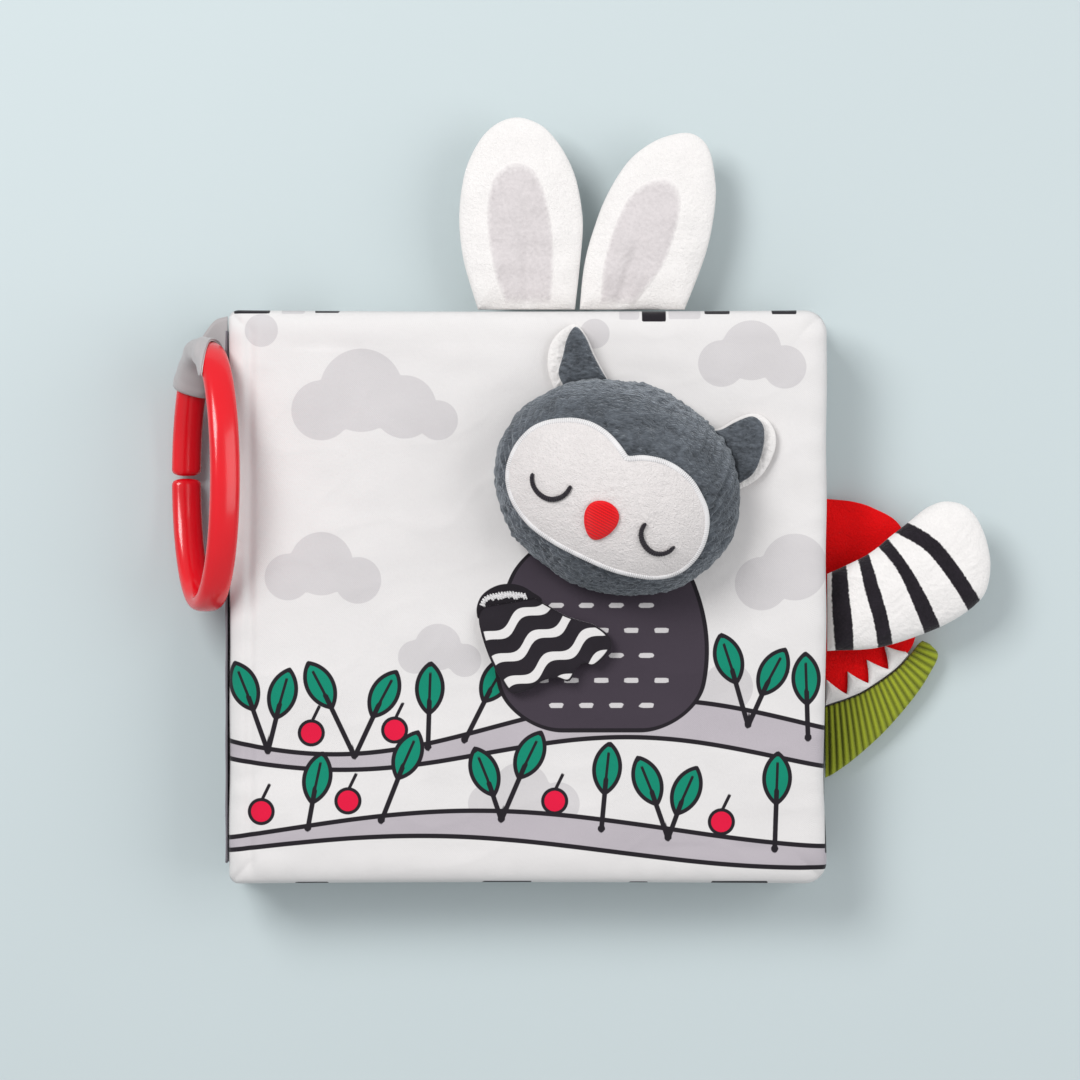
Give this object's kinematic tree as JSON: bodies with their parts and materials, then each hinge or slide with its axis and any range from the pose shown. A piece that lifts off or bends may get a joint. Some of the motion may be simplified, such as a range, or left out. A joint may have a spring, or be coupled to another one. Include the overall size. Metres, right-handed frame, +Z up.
{
  "type": "crinkle cloth book",
  "caption": "Square padded crinkle cloth book for babies with a plush owl head, rabbit ears, striped tail, toothed mouth and a split link ring on a ribbon.",
  "frame": {"origin": "middle of the underside of the back cover, which the closed book lies on", "axes": "+Z up out of the front cover, +Y towards the rabbit ears, +X towards the tail and the free edges of the leaves; the spine and the ring are at -X"},
  "size_m": [0.2494, 0.2312, 0.0653],
  "materials": {
    "pale_cloth": "matte",
    "lining_cloth": "matte",
    "foam": "matte",
    "crinkle_film": "satin",
    "spine_cloth": "matte",
    "slate_plush": "matte",
    "stuffing": "matte",
    "face_cloth": "matte",
    "nose_cloth": "matte",
    "thread": "satin",
    "white_plush": "matte",
    "inner_plush": "matte",
    "wing_cloth": "matte",
    "velour": "matte",
    "felt": "matte",
    "corduroy": "matte",
    "ribbon": "satin",
    "ring_plastic": "gloss"
  },
  "bodies": {
    "back_cover": {"back_cover_lining": "pale_cloth", "back_cover_panel": "lining_cloth", "back_cover_foam": "foam", "back_cover_crinkle_film": "crinkle_film", "spine_lower": "spine_cloth", "ring_strap_tab": "ribbon"},
    "middle_leaf": {"middle_leaf_front": "pale_cloth", "middle_leaf_back": "lining_cloth", "middle_leaf_foam": "foam", "middle_leaf_crinkle_film": "crinkle_film", "spine_upper": "spine_cloth"},
    "front_cover": {"front_cover_panel": "pale_cloth", "front_cover_lining": "lining_cloth", "front_cover_foam": "foam", "front_cover_crinkle_film": "crinkle_film", "owl_head_plush": "slate_plush", "owl_head_stuffing": "stuffing", "owl_face_patch": "face_cloth", "owl_nose": "nose_cloth", "owl_eye_stitch_left": "thread", "owl_eye_stitch_right": "thread", "owl_ear_front_left": "slate_plush", "owl_ear_back_left": "white_plush", "owl_ear_front_right": "slate_plush", "owl_ear_back_right": "white_plush"},
    "wing_flap": {"wing_flap_top": "wing_cloth", "wing_flap_lining": "pale_cloth"},
    "rabbit_ear_left": {"rabbit_ear_plush_left": "white_plush", "rabbit_ear_patch_left": "inner_plush"},
    "rabbit_ear_right": {"rabbit_ear_plush_right": "white_plush", "rabbit_ear_patch_right": "inner_plush"},
    "tail": {"tail_upper": "white_plush", "tail_lower": "white_plush", "tail_stuffing": "stuffing"},
    "mouth": {"mouth_lining": "velour", "tooth_strip": "felt", "jaw_crescent": "corduroy"},
    "strap_fold_outer": {"ring_strap_loop": "ribbon"},
    "strap_fold_inner": {"ring_strap_lining": "felt"},
    "link": {"link_ring": "ring_plastic"}
  },
  "joints": [
    {"name": "middle_leaf_turn", "type": "hinge", "parent": "back_cover", "child": "middle_leaf", "pos_m": [-0.088, 0, 0.02075], "axis": [0, 1, 0], "range_deg": [-180, 0], "deforming": ["spine_lower", "ring_strap_tab"]},
    {"name": "front_cover_turn", "type": "hinge", "parent": "middle_leaf", "child": "front_cover", "pos_m": [-0.088, 0, 0.026], "axis": [0, -1, 0], "range_deg": [0, 180], "deforming": ["spine_upper"]},
    {"name": "ring_lay_with_middle_leaf", "type": "hinge", "parent": "back_cover", "child": "strap_fold_outer", "pos_m": [-0.10419, 0.0362, 0.00529], "axis": [0, 1, 0], "range_deg": [-109, 0], "deforming": ["ring_strap_loop"]},
    {"name": "ring_lay_with_front_cover", "type": "hinge", "parent": "strap_fold_outer", "child": "strap_fold_inner", "pos_m": [-0.10419, 0.0362, 0.00529], "axis": [0, -1, 0], "range_deg": [0, 109], "deforming": ["ring_strap_lining"]},
    {"name": "ring_swing", "type": "hinge", "parent": "strap_fold_inner", "child": "link", "pos_m": [-0.10419, 0.0362, 0.00529], "axis": [0, -1, 0], "range_deg": [0, 105]},
    {"name": "wing_flap_lift", "type": "hinge", "parent": "front_cover", "child": "wing_flap", "pos_m": [-0.0144, -0.0026, 0.0313], "axis": [-0.9912, -0.1322, 0], "range_deg": [0, 75], "stiffness_Nm_per_rad": 0.0006},
    {"name": "rabbit_ear_left_flop", "type": "hinge", "parent": "middle_leaf", "child": "rabbit_ear_left", "pos_m": [0, 0.08685, 0.0155], "axis": [1, 0, 0], "range_deg": [-45, 60], "stiffness_Nm_per_rad": 0.012},
    {"name": "rabbit_ear_right_flop", "type": "hinge", "parent": "middle_leaf", "child": "rabbit_ear_right", "pos_m": [0, 0.08685, 0.0155], "axis": [1, 0, 0], "range_deg": [-45, 60], "stiffness_Nm_per_rad": 0.012},
    {"name": "tail_flop", "type": "hinge", "parent": "middle_leaf", "child": "tail", "pos_m": [0.0906, 0, 0.0155], "axis": [0, -1, 0], "range_deg": [0, 50], "stiffness_Nm_per_rad": 0.02},
    {"name": "mouth_flop", "type": "hinge", "parent": "back_cover", "child": "mouth", "pos_m": [0.0906, 0, 0.005], "axis": [0, -1, 0], "range_deg": [-60, 0], "stiffness_Nm_per_rad": 0.02}
  ],
  "couplings": [
    {"joint": "ring_lay_with_middle_leaf", "follows": "middle_leaf_turn", "ratio": 0.60444},
    {"joint": "ring_lay_with_front_cover", "follows": "front_cover_turn", "ratio": 0.60444}
  ]
}
